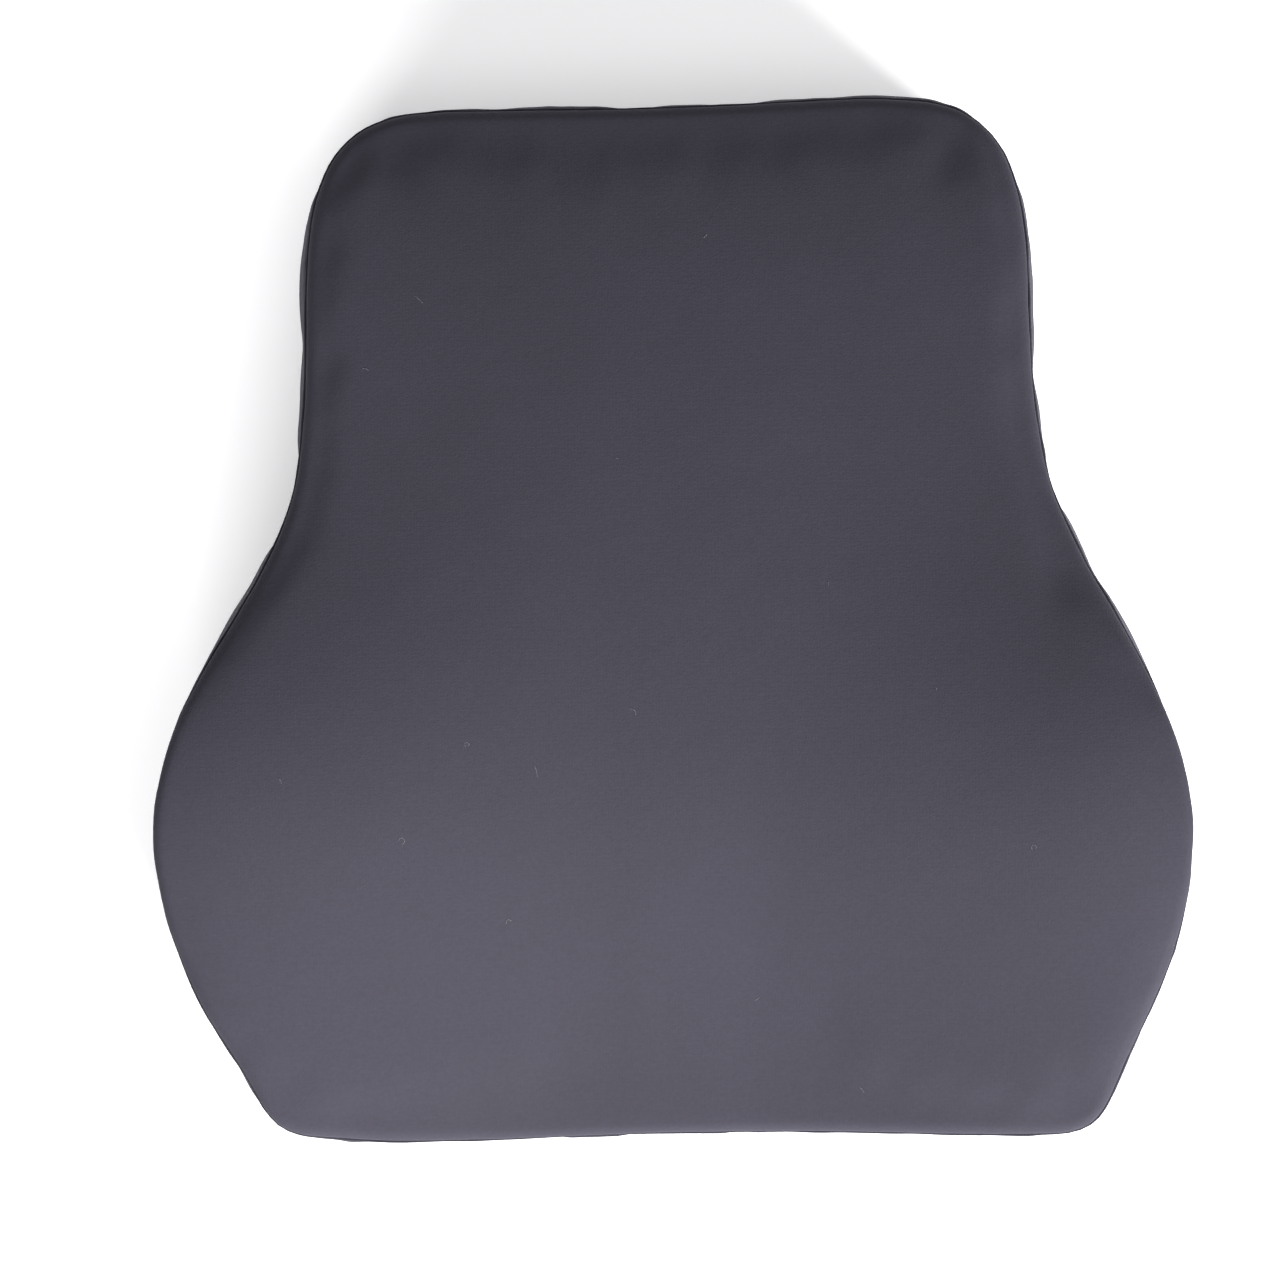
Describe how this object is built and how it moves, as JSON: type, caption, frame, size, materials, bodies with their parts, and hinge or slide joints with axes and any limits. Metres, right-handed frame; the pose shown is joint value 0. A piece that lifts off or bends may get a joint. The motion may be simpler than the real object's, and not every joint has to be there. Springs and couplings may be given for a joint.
{
  "type": "lumbar support cushion",
  "caption": "Bell-shaped lumbar support cushion with a contoured front, side wings, zipped knit cover and a buckled back strap.",
  "frame": {"origin": "centre of the bounding box in plan, at the plane the back rests on", "axes": "+Z out of the front face, towards the user's back; +Y towards the narrow upper end; +X across, to the right seen from the front"},
  "size_m": [0.4014, 0.4107, 0.1138],
  "materials": {
    "foam": "open-cell moulded polyurethane foam, matte",
    "liner_jersey": "thin white jersey, matte",
    "cover_knit": "smooth fine charcoal double knit with a slight sheen",
    "cover_back_mesh": "charcoal knit, matte",
    "sewing_thread": "spun polyester thread",
    "label_satin": "blank white satin",
    "zip_tape": "woven polyester tape",
    "zip_coil": "nylon filament",
    "zip_metal": "black lacquered zinc",
    "webbing": "black ribbed elastic webbing",
    "buckle_plastic": "black acetal, fine matte"
  },
  "bodies": {
    "cushion": {"foam_core": "foam", "liner_front_panel": "liner_jersey", "liner_back_panel": "liner_jersey", "liner_side_band": "liner_jersey", "cover_front_panel": "cover_knit", "cover_side_gusset": "cover_knit", "cover_back_panel": "cover_back_mesh", "front_seam_thread": "sewing_thread", "back_seam_thread": "sewing_thread", "care_label": "label_satin", "zip_tape_upper": "zip_tape", "zip_tape_lower": "zip_tape", "zip_coil_upper": "zip_coil", "zip_coil_lower": "zip_coil", "zip_top_stops": "zip_metal", "zip_bottom_stop": "zip_metal", "strap_short": "webbing", "strap_long": "webbing", "strap_box_stitch": "sewing_thread", "buckle_female": "buckle_plastic"},
    "slider": {"zip_slider": "zip_metal"},
    "pull_tab": {"zip_pull_tab": "zip_metal"},
    "clip": {"buckle_male": "buckle_plastic", "buckle_latch_arms": "buckle_plastic"},
    "adjuster": {"strap_adjuster": "buckle_plastic"}
  },
  "joints": [
    {"name": "zip_travel", "type": "slide", "parent": "cushion", "child": "slider", "axis": [1, 0, 0], "range_m": [-0.225, 0], "deforming": ["zip_tape_upper", "zip_tape_lower", "zip_coil_upper", "zip_coil_lower"]},
    {"name": "pull_tab_swing", "type": "hinge", "parent": "slider", "child": "pull_tab", "pos_m": [0.112, -0.20585, 0.0205], "axis": [0, 0, 1], "range_deg": [0, 170]},
    {"name": "buckle_release", "type": "slide", "parent": "cushion", "child": "clip", "axis": [-1, 0, 0], "range_m": [0, 0.02], "deforming": ["strap_long", "buckle_latch_arms"]},
    {"name": "adjuster_travel", "type": "slide", "parent": "clip", "child": "adjuster", "axis": [1, 0, 0], "range_m": [-0.045, 0]}
  ]
}
